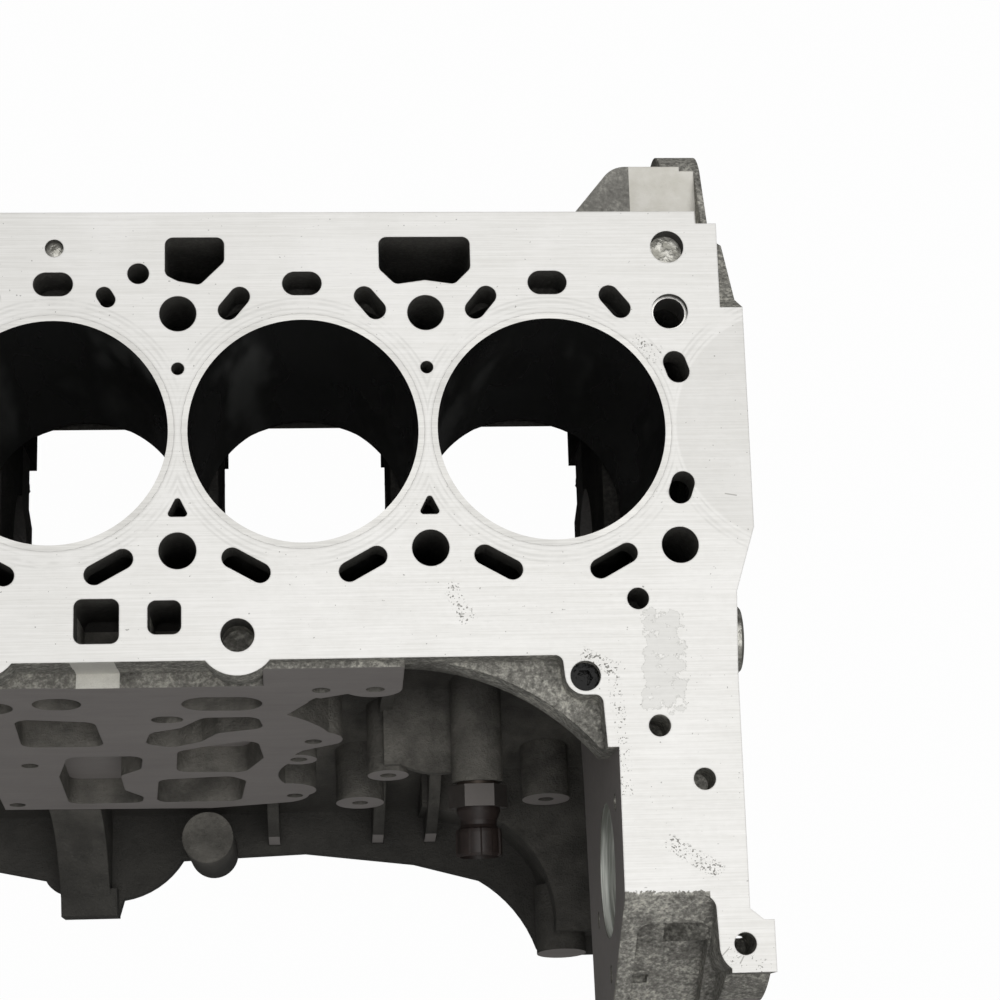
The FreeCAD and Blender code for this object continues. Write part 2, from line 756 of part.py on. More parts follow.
# Water jacket: one ring round the four barrels, closed by the deck, with a column left
# standing round every head bolt.
inner = seat_radius + d.jacket_wall
outer = inner + d.jacket_gap
half_pitch = d.bore_pitch / 2
BOLT_SIDES = (-1, 1)
jacket = free_sketch("water_jacket", "XY_Plane", d.deck_height - d.deck_plate)
for radius in (inner, outer):
    waist = root(radius * radius - half_pitch * half_pitch)
    ring = [(CYLINDERS[0] - radius, 0, radius)]
    for station in (-1, 0, 1):
        ring.append((d.bore_pitch * station, -waist, radius))
    ring.append((CYLINDERS[-1] + radius, 0, radius))
    for station in (1, 0, -1):
        ring.append((d.bore_pitch * station, waist, radius))
    outline(jacket, ring)
head_columns = free_sketch("head_columns", "XY_Plane", d.deck_height)
for bearing in BEARINGS:
    for side in BOLT_SIDES:
        circle(head_columns, bearing, d.bolt_row * side, d.head_bolt_column / 2)
CORES.append(combine("Part::Cut", "jacket_core", extrude(jacket, d.jacket_depth),
                     extrude(head_columns, d.deck_plate + d.jacket_depth + 1)))

# Liner seats, open into the crank bays.
seats = free_sketch("liner_seats", "XY_Plane", d.deck_height)
for cylinder in CYLINDERS:
    circle(seats, cylinder, 0, seat_radius)
core(seats, d.liner_length + 8)

# Crank bays between the bulkheads: straight walls under a round arch.
bay_rise = d.bay_crown - d.bay_spring
bay_radius = (d.bay_half_width * d.bay_half_width + bay_rise * bay_rise) / (2 * bay_rise)
bay_length = d.bore_pitch - d.web_thickness
for number, cylinder in enumerate(CYLINDERS, 1):
    bay = free_sketch("crank_bay_%d" % number, "YZ_Plane", cylinder + bay_length / 2)
    outline(bay, [
        (d.bay_half_width, rail_level),
        (d.bay_half_width, d.bay_spring),
        (0, d.bay_crown, bay_radius),
        (-d.bay_half_width, d.bay_spring, bay_radius),
        (-d.bay_half_width, rail_level)])
    core(bay, bay_length)

# Register for the bearing caps, and the main bearing housings bored in line.
line_length = gearbox_face - timing_face
register = free_sketch("cap_register", "YZ_Plane", gearbox_face)
box_outline(register, -d.cap_half_width - d.cap_clearance, rail_level,
            d.cap_half_width + d.cap_clearance, 0)
core(register, line_length)
line_bore = free_sketch("main_line", "YZ_Plane", gearbox_face)
circle(line_bore, 0, 0, d.main_bore / 2)
core(line_bore, line_length)

# Cap bolt holes, up into every bulkhead.
cap_holes = free_sketch("cap_bolt_holes", "XY_Plane")
for bearing in BEARINGS:
    for side in BOLT_SIDES:
        circle(cap_holes, bearing, d.cap_bolt_row * side, d.cap_bolt / 2 + d.hole_clearance)
core(cap_holes, d.cap_bolt_length - d.cap_shoulder + 6, forward=True)

# Ports through the closed deck into the water jacket: a slot behind each barrel and a slanted
# kidney at each of its corners.  The second barrel has a small port for its last kidney.
slot_half = (d.slot_length - d.slot_width) / 2
FRONT_HALF = (5, 2.8)
REAR_HALF = (2.1, 2.6)
ports = free_sketch("jacket_ports", "XY_Plane", d.deck_height)
for place, cylinder in enumerate(CYLINDERS):
    slot(ports, (cylinder - slot_half, d.slot_reach), (cylinder + slot_half, d.slot_reach),
         d.slot_width)
    for side in BOLT_SIDES:
        middle = cylinder + d.kidney_x * side
        slot(ports, (middle - FRONT_HALF[0], -d.kidney_y - FRONT_HALF[1] * side),
             (middle + FRONT_HALF[0], -d.kidney_y + FRONT_HALF[1] * side), d.kidney_width)
        if (place, side) == (1, 1):
            slot(ports, (cylinder + 18.6, 52), (cylinder + 19.8, 50), 6)
            continue
        middle = cylinder + d.rear_kidney_x * side
        slot(ports, (middle - REAR_HALF[0], d.rear_kidney_y + REAR_HALF[1] * side),
             (middle + REAR_HALF[0], d.rear_kidney_y - REAR_HALF[1] * side), d.kidney_width)

# A drilling and a small triangle in each bridge between barrels, and an upright port on each
# side of both end barrels.
for bearing in BEARINGS[1:-1]:
    circle(ports, bearing, 23.5, 2.4)
    rounded_outline(ports, [(bearing - 4.2, -32), (bearing + 4.2, -32), (bearing, -23.6)], 1.2)
for end in (-1, 1):
    middle = (d.bore_pitch * 1.5 + (inner + outer) / 2 - 5) * end
    for side in BOLT_SIDES:
        slot(ports, (middle - 0.6 * end, 21.2 * side), (middle - 1.8 * end, 24.8 * side), 8.6)
core(ports, d.deck_plate + 6)

# Drain ports from the deck down to the crank bays.
drains = free_sketch("drain_ports", "XY_Plane", d.deck_height)
drain_start = d.drain_edge - d.drain_width
rounded_outline(drains, [
    (-4.8, drain_start + 4),
    (0, drain_start + 1.5),
    (8, drain_start),
    (17, drain_start + 9),
    (17, d.drain_edge),
    (-4.8, d.drain_edge)], d.deck_corner)
for bearing in (BEARINGS[1], BEARINGS[3]):
    rounded_outline(drains, [
        (bearing - 17, drain_start + 6),
        (bearing - 11, drain_start),
        (bearing, drain_start + 1.6),
        (bearing + 11, drain_start),
        (bearing + 17, drain_start + 6),
        (bearing + 17, d.drain_edge),
        (bearing - 17, d.drain_edge)], d.deck_corner)
core(drains, d.drain_depth)

# Head-bolt holes.
head_bolts = free_sketch("head_bolt_holes", "XY_Plane", d.deck_height)
for bearing in BEARINGS:
    for side in BOLT_SIDES:
        circle(head_bolts, bearing, d.bolt_row * side, d.head_bolt_hole / 2)
core(head_bolts, d.head_bolt_depth)

# Cover-bolt holes of the arm and the plain side, and the holes of the lobes.
ARM_HOLES = [(arm_x + 9, -64.2), (arm_x + 15, -110.6), (stepped_face - 14, -130),
             (gearbox_face - 10.8, -d.arm_lug_front + 10)]
PLAIN_HOLES = [(-14.5, 60), (-150, 72)]
cover_holes = free_sketch("cover_holes", "XY_Plane", d.deck_height)
for x, y in ARM_HOLES + PLAIN_HOLES:
    circle(cover_holes, x, y, d.cover_hole / 2)
for lobe in LOBES:
    circle(cover_holes, lobe, -d.lobe_reach, d.lobe_hole / 2)
core(cover_holes, d.cover_hole_depth)

# Two square oil ports beside the second barrel.
oil_ports = free_sketch("deck_oil_ports", "XY_Plane", d.deck_height)
for west, south, east, north in ((-36.7, -78, -20.6, -61.7), (-10.6, -74.9, 1.4, -62.5)):
    rounded_outline(oil_ports, [(west, south), (east, south), (east, north), (west, north)],
                    d.deck_corner)
core(oil_ports, d.deck_plate + 30)

# Seats of the pressed and screwed plugs in the deck.
SCREW_PLUG = (arm_x - 11.1, -92.2)
SMALL_PLUG = (-45.2, 69.9)
LARGE_PLUG = (2 * d.bore_pitch, 69.8)
plug_seats = free_sketch("deck_plug_seats", "XY_Plane", d.deck_height)
for (x, y), diameter in ((SCREW_PLUG, d.screw_plug), (SMALL_PLUG, d.small_plug),
                         (LARGE_PLUG, d.large_plug)):
    circle(plug_seats, x, y, diameter / 2)
core(plug_seats, d.plug_seat_depth)

# Oil passages sunk in the oil-module flange, with ribs left between them.
UPPER_PORTS = [
    [(-66, -76), (-65, -36), (-35, -42), (-34, -77)],
    [(-18, -74), (-15, -58), (-3, -52), (6, -38), (27, -38), (29, -54), (11, -60), (4, -72),
     (-8, -80)]]
upper_ports = free_sketch("upper_oil_ports", "XZ_Plane", **pad_face)
for points in UPPER_PORTS:
    rounded_outline(upper_ports, points, d.port_corner)
slot(upper_ports, (-48.5, -17), (-45.5, -17), 15)
slot(upper_ports, (-75, -20), (-71, -21), 15)
slot(upper_ports, (8, -19.5), (20, -20), 18)
slot(upper_ports, (-9, -40), (-6, -40), 9)
core(upper_ports, d.port_depth)

LOWER_PORTS = [
    [(-56, -122), (-50, -92), (-20, -92), (-22, -112), (-31, -122), (-31, -146), (-24, -158),
     (-25, -168), (-56, -168)],
    [(-8, -118), (-6, -86), (4, -80), (26, -70), (28, -98), (20, -120)],
    [(-19, -168), (-16, -130), (14, -126), (20, -134), (17, -168)]]
lower_ports = free_sketch("lower_oil_ports", "XZ_Plane", **pad_face)
for points in LOWER_PORTS:
    rounded_outline(lower_ports, points, d.port_corner)
core(lower_ports, d.low_port_depth)

FLANGE_LUGS = [(51, -4), (48, -75), (40, -161), (-66, -104), (-79, -6), (-78, -168)]
boss_holes = free_sketch("bracket_holes", "XZ_Plane", **pad_face)
for x, level in FLANGE_LUGS + [boss[:2] for boss in BOSSES]:
    circle(boss_holes, x, level, d.boss_hole / 2)
core(boss_holes, d.boss_hole_depth)

switch_hole = free_sketch("switch_hole", "XZ_Plane", d.switch_face)
circle(switch_hole, d.switch_x, d.switch_z, d.switch_thread / 2)
core(switch_hole, d.switch_reach + 4)

# Pump register, its screw holes, and the chain case that it opens into.
pump_hole = free_sketch("pump_register", "YZ_Plane", arm_x)
circle(pump_hole, -d.pump_bore_y, d.pump_bore_z, d.pump_bore / 2)
core(pump_hole, d.pump_wall + 1, forward=True)
pump_screws = free_sketch("pump_screw_holes", "YZ_Plane", arm_x)
pump_screw_ring = d.pump_bore / 2 + 13
for turn in (55, 180, 245):
    circle(pump_screws, -d.pump_bore_y + pump_screw_ring * math.cos(math.radians(turn)),
           d.pump_bore_z + pump_screw_ring * math.sin(math.radians(turn)), d.boss_hole / 2)
core(pump_screws, d.pump_wall - 4, forward=True)
chain_case = free_sketch("chain_case", "YZ_Plane", gearbox_face)
box_outline(chain_case, -d.arm_front - 14, d.housing_floor + d.case_wall,
            -d.arm_start + 6, d.deck_height - d.deck_plate - 4)
core(chain_case, gearbox_face - arm_x - d.pump_wall)

# Recess in the sloping front of the pump housing.
slope = Size(math.degrees(math.atan2(d.housing_front.value - d.arm_front.value,
                                     d.deck_height.value - housing_knee.value)))
recess = free_sketch("housing_recess", "XZ_Plane", d.arm_front, slope, d.deck_height)
rounded_outline(recess, [(arm_x + 6, -80), (arm_x + 32, -80), (arm_x + 32, -15),
                         (arm_x + 6, -15)], 5)
core(recess, 7)

# Core plug holes on the plain side, opposite each barrel.
core_holes = free_sketch("core_holes", "XZ_Plane", -d.plain_side)
for cylinder in CYLINDERS:
    circle(core_holes, cylinder, d.core_height, d.core_hole / 2)
core(core_holes, d.plain_side - outer + 4, forward=True)

# Gallery, gearbox-bolt and sump-bolt holes.
gallery = free_sketch("gallery_hole", "YZ_Plane", stepped_face)
circle(gallery, -d.gallery_y, d.gallery_z, d.gallery_hole / 2)
core(gallery, 34)
FLANGE_HOLES = [(120, 128), (139, 20), (40, 160), (-60, 160), (-198, 60), (-172, -30)]
flange_holes = free_sketch("gearbox_bolt_holes", "YZ_Plane", gearbox_face)
for y, z in FLANGE_HOLES:
    circle(flange_holes, y, z, d.flange_hole / 2)
core(flange_holes, d.flange_thickness + 6)
rail_holes = free_sketch("sump_bolt_holes", "XY_Plane", rail_level)
for half_step in range(-4, 5):
    x = d.bore_pitch / 2 * half_step
    circle(rail_holes, x, -d.rail_reach + d.rail_hole_inset, d.rail_hole / 2)
    circle(rail_holes, x, d.plain_rail_reach - d.rail_hole_inset, d.rail_hole / 2)
core(rail_holes, d.rail_hole_depth, forward=True)

# The ear is faced flat on top, up to the gearbox flange.
ear_face = free_sketch("ear_face", "XY_Plane", d.ear_top)
box_outline(ear_face, 180, d.deck_plain_edge + 0.5, gearbox_face - 2.5, d.ear_reach + 12)
core(ear_face, d.deck_height - d.ear_top + 5, forward=True)

cylinder_block = combine("Part::Cut", "cylinder_block", casting,
                         combine("Part::MultiFuse", "block_cores", *CORES))
NODES = [cylinder_block]

# ---------------------------------------------------------------------- liners and caps

# Liners: thin iron tubes pressed in flush with the deck, chamfered at the foot so that the
# rings enter from below.
LINER_CHAMFER = 1.2
for number, cylinder in enumerate(CYLINDERS, 1):
    liner = new_body("cylinder_liner_%d" % number)
    wall = new_sketch(liner, "liner_section_%d" % number, "XZ_Plane")
    foot = d.deck_height - d.liner_length
    outline(wall, [
        (d.bore / 2, d.deck_height),
        (d.bore / 2, foot + 3),
        (d.bore / 2 + LINER_CHAMFER, foot),
        (seat_radius, foot),
        (seat_radius, d.deck_height)])
    turned = liner.newObject("PartDesign::Revolution", "liner_turned_%d" % number)
    turned.Profile = wall
    turned.ReferenceAxis = (wall, ["V_Axis"])
    turned.Angle = 360
    bind(liner, "Placement.Base.x", cylinder)
    NODES.append(liner)

# Main bearing caps: each drops into its register below the bulkhead and was bored with it.
cap_thickness = d.web_thickness - 2 * d.cap_relief
for number, bearing in enumerate(BEARINGS, 1):
    cap = new_body("main_bearing_cap_%d" % number)
    face = new_sketch(cap, "cap_section_%d" % number, "YZ_Plane", cap_thickness / 2)
    half_bore = d.main_bore / 2
    outline(face, [
        (-half_bore, 0, -half_bore),
        (-d.cap_half_width, 0),
        (-d.cap_half_width, -d.cap_shoulder),
        (-d.cap_half_width + 24, -d.cap_shoulder),
        (-d.cap_half_width + 30, -d.cap_depth),
        (d.cap_half_width - 30, -d.cap_depth),
        (d.cap_half_width - 24, -d.cap_shoulder),
        (d.cap_half_width, -d.cap_shoulder),
        (d.cap_half_width, 0),
        (half_bore, 0),
        (0, -half_bore, -half_bore)])
    pad(cap, face, cap_thickness, reverse=True)
    shanks = new_sketch(cap, "cap_shanks_%d" % number, "XY_Plane")
    for side in BOLT_SIDES:
        circle(shanks, 0, d.cap_bolt_row * side, d.cap_bolt / 2 + d.hole_clearance)
    holes = cap.newObject("PartDesign::Pocket", "cap_holes_%d" % number)
    holes.Profile = shanks
    holes.Type = "ThroughAll"
    bind(cap, "Placement.Base.x", bearing)
    NODES.append(cap)

# Cap bolts: hexagon heads with a pressed flange, up through the caps into the bulkheads.
bolts = []
for bearing in BEARINGS:
    for side in BOLT_SIDES:
        name = "cap_bolt_%d" % (len(bolts) + 1)
        head = doc.addObject("Part::Prism", name + "_head")
        head.Polygon = 6
        bind(head, "Circumradius", d.cap_bolt * 0.75)
        bind(head, "Height", d.cap_bolt_head)
        bind(head, "Placement.Base.z", -d.cap_shoulder - d.cap_bolt_head)
        collar = doc.addObject("Part::Cylinder", name + "_flange")
        bind(collar, "Radius", d.cap_bolt_flange / 2)
        collar.Height = 2.5
        bind(collar, "Placement.Base.z", -d.cap_shoulder - 2.5)
        shank = doc.addObject("Part::Cylinder", name + "_shank")
        bind(shank, "Radius", d.cap_bolt / 2)
        bind(shank, "Height", d.cap_bolt_length)
        bind(shank, "Placement.Base.z", -d.cap_shoulder)
        bolt = combine("Part::MultiFuse", name, head, collar, shank)
        bind(bolt, "Placement.Base.x", bearing)
        bind(bolt, "Placement.Base.y", d.cap_bolt_row * side)
        bolts.append(bolt)
NODES.append(combine("Part::Compound", "main_cap_bolts", *bolts))

# ---------------------------------------------------------------------- plugs and dowels


def turned_piece(label, points):
    """A body turned from a half section given as radius and height along its own Z."""
    body = new_body(label)
    half = new_sketch(body, label + "_section", "XZ_Plane")
    outline(half, points)
    turned = body.newObject("PartDesign::Revolution", label + "_turned")
    turned.Profile = half
    turned.ReferenceAxis = (half, ["V_Axis"])
    turned.Angle = 360
    doc.recompute()
    return body


def place(body, x, y, z, turn=None):
    if turn is not None:
        body.Placement = Placement(Vector(0, 0, 0), turn)
    bind(body, "Placement.Base.x", x)
    bind(body, "Placement.Base.y", y)
    bind(body, "Placement.Base.z", z)
    NODES.append(body)
    return body


# Core plugs: dished steel cups driven into the plain side, their rims just inside the wall.
TO_PLAIN_SIDE = Rotation(Vector(1, 0, 0), -90)
cup = d.core_hole / 2
for number, cylinder in enumerate(CYLINDERS, 1):
    plug = turned_piece("core_plug_%d" % number, [
        (0, -7),
        (cup, -7),
        (cup, 0),
        (cup - d.plug_wall, 0),
        (cup - d.plug_wall, -7 + d.plug_wall),
        (0, -7 + d.plug_wall)])
    place(plug, cylinder, d.plain_side - 1, d.core_height, TO_PLAIN_SIDE)

# Deck plugs: a small and a large pressed disc, and a screw plug with a hexagon socket.
small = turned_piece("small_deck_plug", [
    (0, 0), (d.small_plug / 2, 0), (d.small_plug / 2, 4), (0, 5)])
place(small, SMALL_PLUG[0], SMALL_PLUG[1], d.deck_height - 7)
large = turned_piece("large_deck_plug", [
    (0, 0), (d.large_plug / 2, 0), (d.large_plug / 2, 2.5), (0, 2.5)])
place(large, LARGE_PLUG[0], LARGE_PLUG[1], d.deck_height - 9)
screw = turned_piece("deck_screw_plug", [
    (0, 0), (d.screw_plug / 2, 0), (d.screw_plug / 2, 7.5), (0, 7.5)])
socket = new_sketch(screw, "screw_plug_socket", "XY_Plane", 7.5)
hexagon = []
for corner in range(6):
    turn = math.radians(60 * corner)
    hexagon.append((3.2 * math.cos(turn), 3.2 * math.sin(turn)))
outline(socket, hexagon)
pocket(screw, socket, 3.5)
place(screw, SCREW_PLUG[0], SCREW_PLUG[1], d.deck_height - d.plug_seat_depth)

# Hollow dowels that centre the cylinder head on the two corner bolt holes.
for number, end in enumerate((-1, 1), 1):
    radius = d.head_bolt_hole / 2
    sleeve = turned_piece("head_dowel_%d" % number, [
        (radius - d.dowel_wall, 0), (radius, 0), (radius, 14), (radius - d.dowel_wall, 14)])
    place(sleeve, 2 * d.bore_pitch * end, d.bolt_row, d.deck_height - 16.5)

# Hollow dowels that centre the gearbox.
TO_GEARBOX = Rotation(Vector(0, 1, 0), 90)
for number, (y, z) in enumerate((FLANGE_HOLES[1], FLANGE_HOLES[5]), 1):
    radius = d.flange_hole / 2
    sleeve = turned_piece("gearbox_dowel_%d" % number, [
        (radius - 1.2, 0), (radius, 0), (radius, 18), (radius - 1.2, 18)])
    place(sleeve, gearbox_face - 11, y, z, TO_GEARBOX)

# Screw plug that closes the main oil gallery at the gearbox end.
end_plug = turned_piece("gallery_end_plug", [
    (0, -12),
    (d.gallery_hole / 2, -12),
    (d.gallery_hole / 2, 0),
    (d.gallery_plug / 2, 0),
    (d.gallery_plug / 2, d.gearbox_step - 1),
    (d.gallery_plug / 2 - 1, d.gearbox_step),
    (0, d.gearbox_step)])
place(end_plug, stepped_face, -d.gallery_y, d.gallery_z, TO_GEARBOX)

# -------------------------------------------------------------------- oil pressure switch

# Sealing ring, hexagon body screwed into its boss, and moulded connector with a latch.
TO_PUMP_SIDE = Rotation(Vector(1, 0, 0), 90)
SEAL = 1.5
BODY = 9
seal = turned_piece("oil_switch_seal", [
    (d.switch_thread / 2, 0), (8.6, 0), (8.6, SEAL), (d.switch_thread / 2, SEAL)])
place(seal, d.switch_x, -d.switch_face, d.switch_z, TO_PUMP_SIDE)

switch = new_body("oil_switch_body")
hexagon_sketch = new_sketch(switch, "switch_hexagon", "XY_Plane", SEAL)
corners = []
for corner in range(6):
    turn = math.radians(60 * corner)
    corners.append((d.switch_hexagon / 2 * math.cos(turn), d.switch_hexagon / 2 * math.sin(turn)))
outline(hexagon_sketch, corners)
pad(switch, hexagon_sketch, BODY)
stem = new_sketch(switch, "switch_stem", "XY_Plane", SEAL)
circle(stem, 0, 0, d.switch_thread / 2)
pad(switch, stem, d.switch_reach + SEAL, reverse=True)
place(switch, d.switch_x, -d.switch_face, d.switch_z, TO_PUMP_SIDE)

connector = new_body("oil_switch_connector")
drum = new_sketch(connector, "connector_drum", "XY_Plane", SEAL + BODY)
circle(drum, 0, 0, 10)
pad(connector, drum, 5)
barrel = new_sketch(connector, "connector_barrel", "XY_Plane", SEAL + BODY)
circle(barrel, 0, 0, 8)
pad(connector, barrel, 20)
latch = new_sketch(connector, "connector_latch", "XY_Plane", SEAL + BODY)
box_outline(latch, -3.5, 5, 3.5, 10)
pad(connector, latch, 17)
mouth = new_sketch(connector, "connector_mouth", "XY_Plane", SEAL + BODY + 20)
circle(mouth, 0, 0, 6)
pocket(connector, mouth, 9)
place(connector, d.switch_x, -d.switch_face, d.switch_z, TO_PUMP_SIDE)

# ---------------------------------------------------------------------------- check and write

doc.recompute()
for item in doc.Objects:
    if {"Invalid", "Error"} & set(item.State):
        raise ValueError("%s failed: %s" % (item.Name, item.State))
os.makedirs("parts", exist_ok=True)
for node in NODES:
    shape = node.Shape
    if shape.isNull() or not shape.isValid() or not shape.Solids:
        raise ValueError("%s has no sound shape" % node.Label)
for node in NODES:
    node.Shape.exportStep("parts/%s.step" % node.Label)
    print("%-24s %3d solid  %10.0f mm3" % (node.Label, len(node.Shape.Solids), node.Shape.Volume))
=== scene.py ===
"""Looks of the engine block: the bare casting with its liners, bearing caps and plugs.

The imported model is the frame.  Metres; X along the crankshaft, Z up from its axis, and the side
with the oil-module flange and the pump face looks to -Y.
"""
import math

import bpy
from mathutils import Euler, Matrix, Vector


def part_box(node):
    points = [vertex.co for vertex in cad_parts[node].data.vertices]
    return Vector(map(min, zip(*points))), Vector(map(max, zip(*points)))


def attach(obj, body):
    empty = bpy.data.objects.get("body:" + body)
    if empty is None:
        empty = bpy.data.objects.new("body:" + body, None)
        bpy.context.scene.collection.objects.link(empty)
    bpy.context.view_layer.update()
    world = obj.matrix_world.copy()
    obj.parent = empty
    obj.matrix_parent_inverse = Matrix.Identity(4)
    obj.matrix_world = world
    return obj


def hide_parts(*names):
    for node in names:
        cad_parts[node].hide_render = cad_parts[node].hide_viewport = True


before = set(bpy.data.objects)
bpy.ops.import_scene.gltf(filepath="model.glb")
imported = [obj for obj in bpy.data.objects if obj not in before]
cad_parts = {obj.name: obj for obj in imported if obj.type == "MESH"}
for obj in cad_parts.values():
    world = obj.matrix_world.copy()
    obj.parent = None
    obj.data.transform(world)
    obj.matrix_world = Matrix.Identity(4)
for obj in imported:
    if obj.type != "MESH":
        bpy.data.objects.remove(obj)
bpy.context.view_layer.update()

# ------------------------------------------------------------------------------- the casting
# One casting in aluminium alloy: sandy grey-brown as it left the mould, and milled
# bright on the deck, the end faces, the leaning oil-module flange and the pump face.


class Wire:
    """An output socket; arithmetic on it adds Math nodes to its own finish."""

    def __init__(self, finish, socket):
        self.finish = finish
        self.socket = socket

    def math(self, operation, *values):
        return self.finish.node("ShaderNodeMath", {"operation": operation},
                                dict(enumerate(values)))

    def __add__(self, other):
        return self.math("ADD", self, other)

    def __sub__(self, other):
        return self.math("SUBTRACT", self, other)

    def __rsub__(self, other):
        return self.math("SUBTRACT", other, self)

    def __mul__(self, other):
        return self.math("MULTIPLY", self, other)

    def __gt__(self, other):
        return self.math("GREATER_THAN", self, other)

    def __lt__(self, other):
        return self.math("LESS_THAN", self, other)

    def __abs__(self):
        return self.math("ABSOLUTE", self)

    def __pow__(self, other):
        return self.math("POWER", self, other)

    def highest(self, other):
        return self.math("MAXIMUM", self, other)

    def rise(self, start, stop):
        """0 below start, 1 above stop, and smooth between; start may be the higher one."""
        return self.finish.node(
            "ShaderNodeMapRange", {"interpolation_type": "SMOOTHSTEP"},
            {"Value": self, "From Min": start, "From Max": stop})

    __radd__ = __add__
    __rmul__ = __mul__


class Finish:
    """A Principled material whose nodes are made by one method."""

    def __init__(self, name, **uniform):
        self.material = bpy.data.materials.new(name)
        self.material.use_nodes = True
        self.tree = self.material.node_tree
        self.tree.nodes.clear()
        self.shader = self.tree.nodes.new("ShaderNodeBsdfPrincipled")
        self.output = self.tree.nodes.new("ShaderNodeOutputMaterial")
        self.tree.links.new(self.shader.outputs[0], self.output.inputs[0])
        self.place = self.node("ShaderNodeTexCoord", outputs=("Object",))
        self.x, self.y, self.z = self.parts(self.place)
        facing = self.node("ShaderNodeNewGeometry", outputs=("Normal",))
        self.nx, self.ny, self.nz = self.parts(facing)
        for socket, value in uniform.items():
            self.shader.inputs[socket.replace("_", " ")].default_value = value

    def node(self, kind, settings=None, inputs=None, outputs=(0,)):
        """A node of any kind: its settings first, then values or wires for its sockets."""
        made = self.tree.nodes.new(kind)
        for name, value in (settings or {}).items():
            if name == "stops":
                stops = made.color_ramp.elements
                while len(stops) < len(value):
                    stops.new(0.5)
                for stop, (position, colour) in zip(stops, value):
                    stop.position = position
                    stop.color = (*colour, 1)
            else:
                setattr(made, name, value)
        for name, value in (inputs or {}).items():
            socket = made.inputs[name]
            if isinstance(value, Wire):
                self.tree.links.new(value.socket, socket)
            elif socket.type == "RGBA" and len(value) == 3:
                socket.default_value = (*value, 1)
            else:
                socket.default_value = value
        wires = [Wire(self, made.outputs[name]) for name in outputs]
        return wires[0] if len(wires) == 1 else wires

    def parts(self, vector):
        """The three components of a vector."""
        return self.node("ShaderNodeSeparateXYZ", None, {0: vector}, (0, 1, 2))

    def stretched(self, x, y, z):
        """Object coordinates stretched by a factor along each axis."""
        return self.node("ShaderNodeVectorMath", {"operation": "MULTIPLY"},
                         {0: self.place, 1: (x, y, z)})

    def noise(self, scale, detail=2.0, roughness=0.5, vector=None):
        """Cloudy noise from 0 to 1; scale is in cycles a metre."""
        return self.node("ShaderNodeTexNoise", None,
                         {"Vector": vector or self.place, "Scale": scale, "Detail": detail,
                          "Roughness": roughness})

    def mix(self, mask, first, second):
        """The first colour where mask is 0, the second where it is 1."""
        return self.node("ShaderNodeMix", {"data_type": "RGBA"},
                         {0: mask, 6: first, 7: second}, (2,))

    def strip(self, start, stop, reach, soft):
        """1 within reach of a straight line drawn on the deck, 0 past reach + soft."""
        run = Vector(stop) - Vector(start)
        ux, uy = run.normalized()
        along = (self.x - start[0]) * ux + (self.y - start[1]) * uy
        across = (self.x - start[0]) * -uy + (self.y - start[1]) * ux
        beyond = abs(along - run.length / 2) - run.length / 2
        return beyond.highest(abs(across)).rise(reach + soft, reach)

    def specks(self, scale, level, soft=0.03):
        """1 in scattered small spots; a higher level leaves fewer of them."""
        return self.noise(scale, 1.5, 0.6).rise(level, level + soft)

    def bump(self, height, distance, normal=None):
        """Relief of a height in metres at full value, over another normal if one is given."""
        inputs = {"Height": height, "Distance": distance, "Strength": 1.0}
        if normal:
            inputs["Normal"] = normal
        return self.node("ShaderNodeBump", None, inputs)

    def wear(self, **sockets):
        """Links what varies over the surface to the shader's own sockets."""
        for name, wire in sockets.items():
            self.tree.links.new(wire.socket, self.shader.inputs[name.replace("_", " ")])

    def put_on(self, *pieces):
        for piece in pieces:
            piece.data.materials.clear()
            piece.data.materials.append(self.material)


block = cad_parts["cylinder_block"]
low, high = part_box("cylinder_block")
DECK = high.z
RAIL = low.z
PITCH = 0.091  # from one bore to the next
BORE_EDGE = 0.0442  # radius of a liner's outside
LEAN = math.radians(7.5)  # of the oil-module flange, away from upright
PUMP_FACE = 0.1567  # x of the face that the pump bolts to
PUMP_AXIS_Y, PUMP_AXIS_Z, REGISTER = -0.1575, 0.180, 0.025  # axis and radius of its register
HOUSING_FLOOR = 0.1185  # just above the pump housing's underside
GEARBOX_SIDE = 0.2  # x past which a face belongs to the gearbox end
EAR_TOP, EAR_PAD = 0.148, 0.180  # the ear's height, and where its milled pad begins
PORTS_REACH = 0.0785  # how far out the ports in the deck lie
JACKET_WALL = 0.0655  # just inside the jacket's wall on the pump side
PORTS_DEPTH = 0.0145  # how far down them the painted shade goes, just short of the deck plate
BEHIND_FLANGE = 0.191  # x just short of the gearbox flange
SQUARE = 0.95  # a face this square to an axis counts as milled
SKIN = 0.0004  # how near its plane a milled face is looked for

casting = Finish("cast_aluminium", IOR=1.45)
leaning_way = casting.ny * -math.cos(LEAN) + casting.nz * math.sin(LEAN)
on_deck = (casting.nz > SQUARE) * (casting.z > DECK - SKIN)
on_module = (leaning_way > 0.999) * (casting.y < -0.05)
on_gearbox_end = (casting.nx > SQUARE) * (casting.x > GEARBOX_SIDE)
on_timing_end = (casting.nx < -SQUARE) * (casting.x < low.x + SKIN)
on_rail = (casting.nz < -SQUARE) * (casting.z < RAIL + SKIN)
on_pump_face = (casting.nx < -SQUARE) * (abs(casting.x - PUMP_FACE) < 0.0006)
on_ear = (casting.nz > SQUARE) * (abs(casting.z - EAR_TOP) < SKIN) * (casting.x > EAR_PAD)
from_pump_axis = ((casting.y - PUMP_AXIS_Y) ** 2 + (casting.z - PUMP_AXIS_Z) ** 2) ** 0.5
on_register = (abs(from_pump_axis - REGISTER) < 0.0006) * (casting.x > PUMP_FACE + 0.0003)

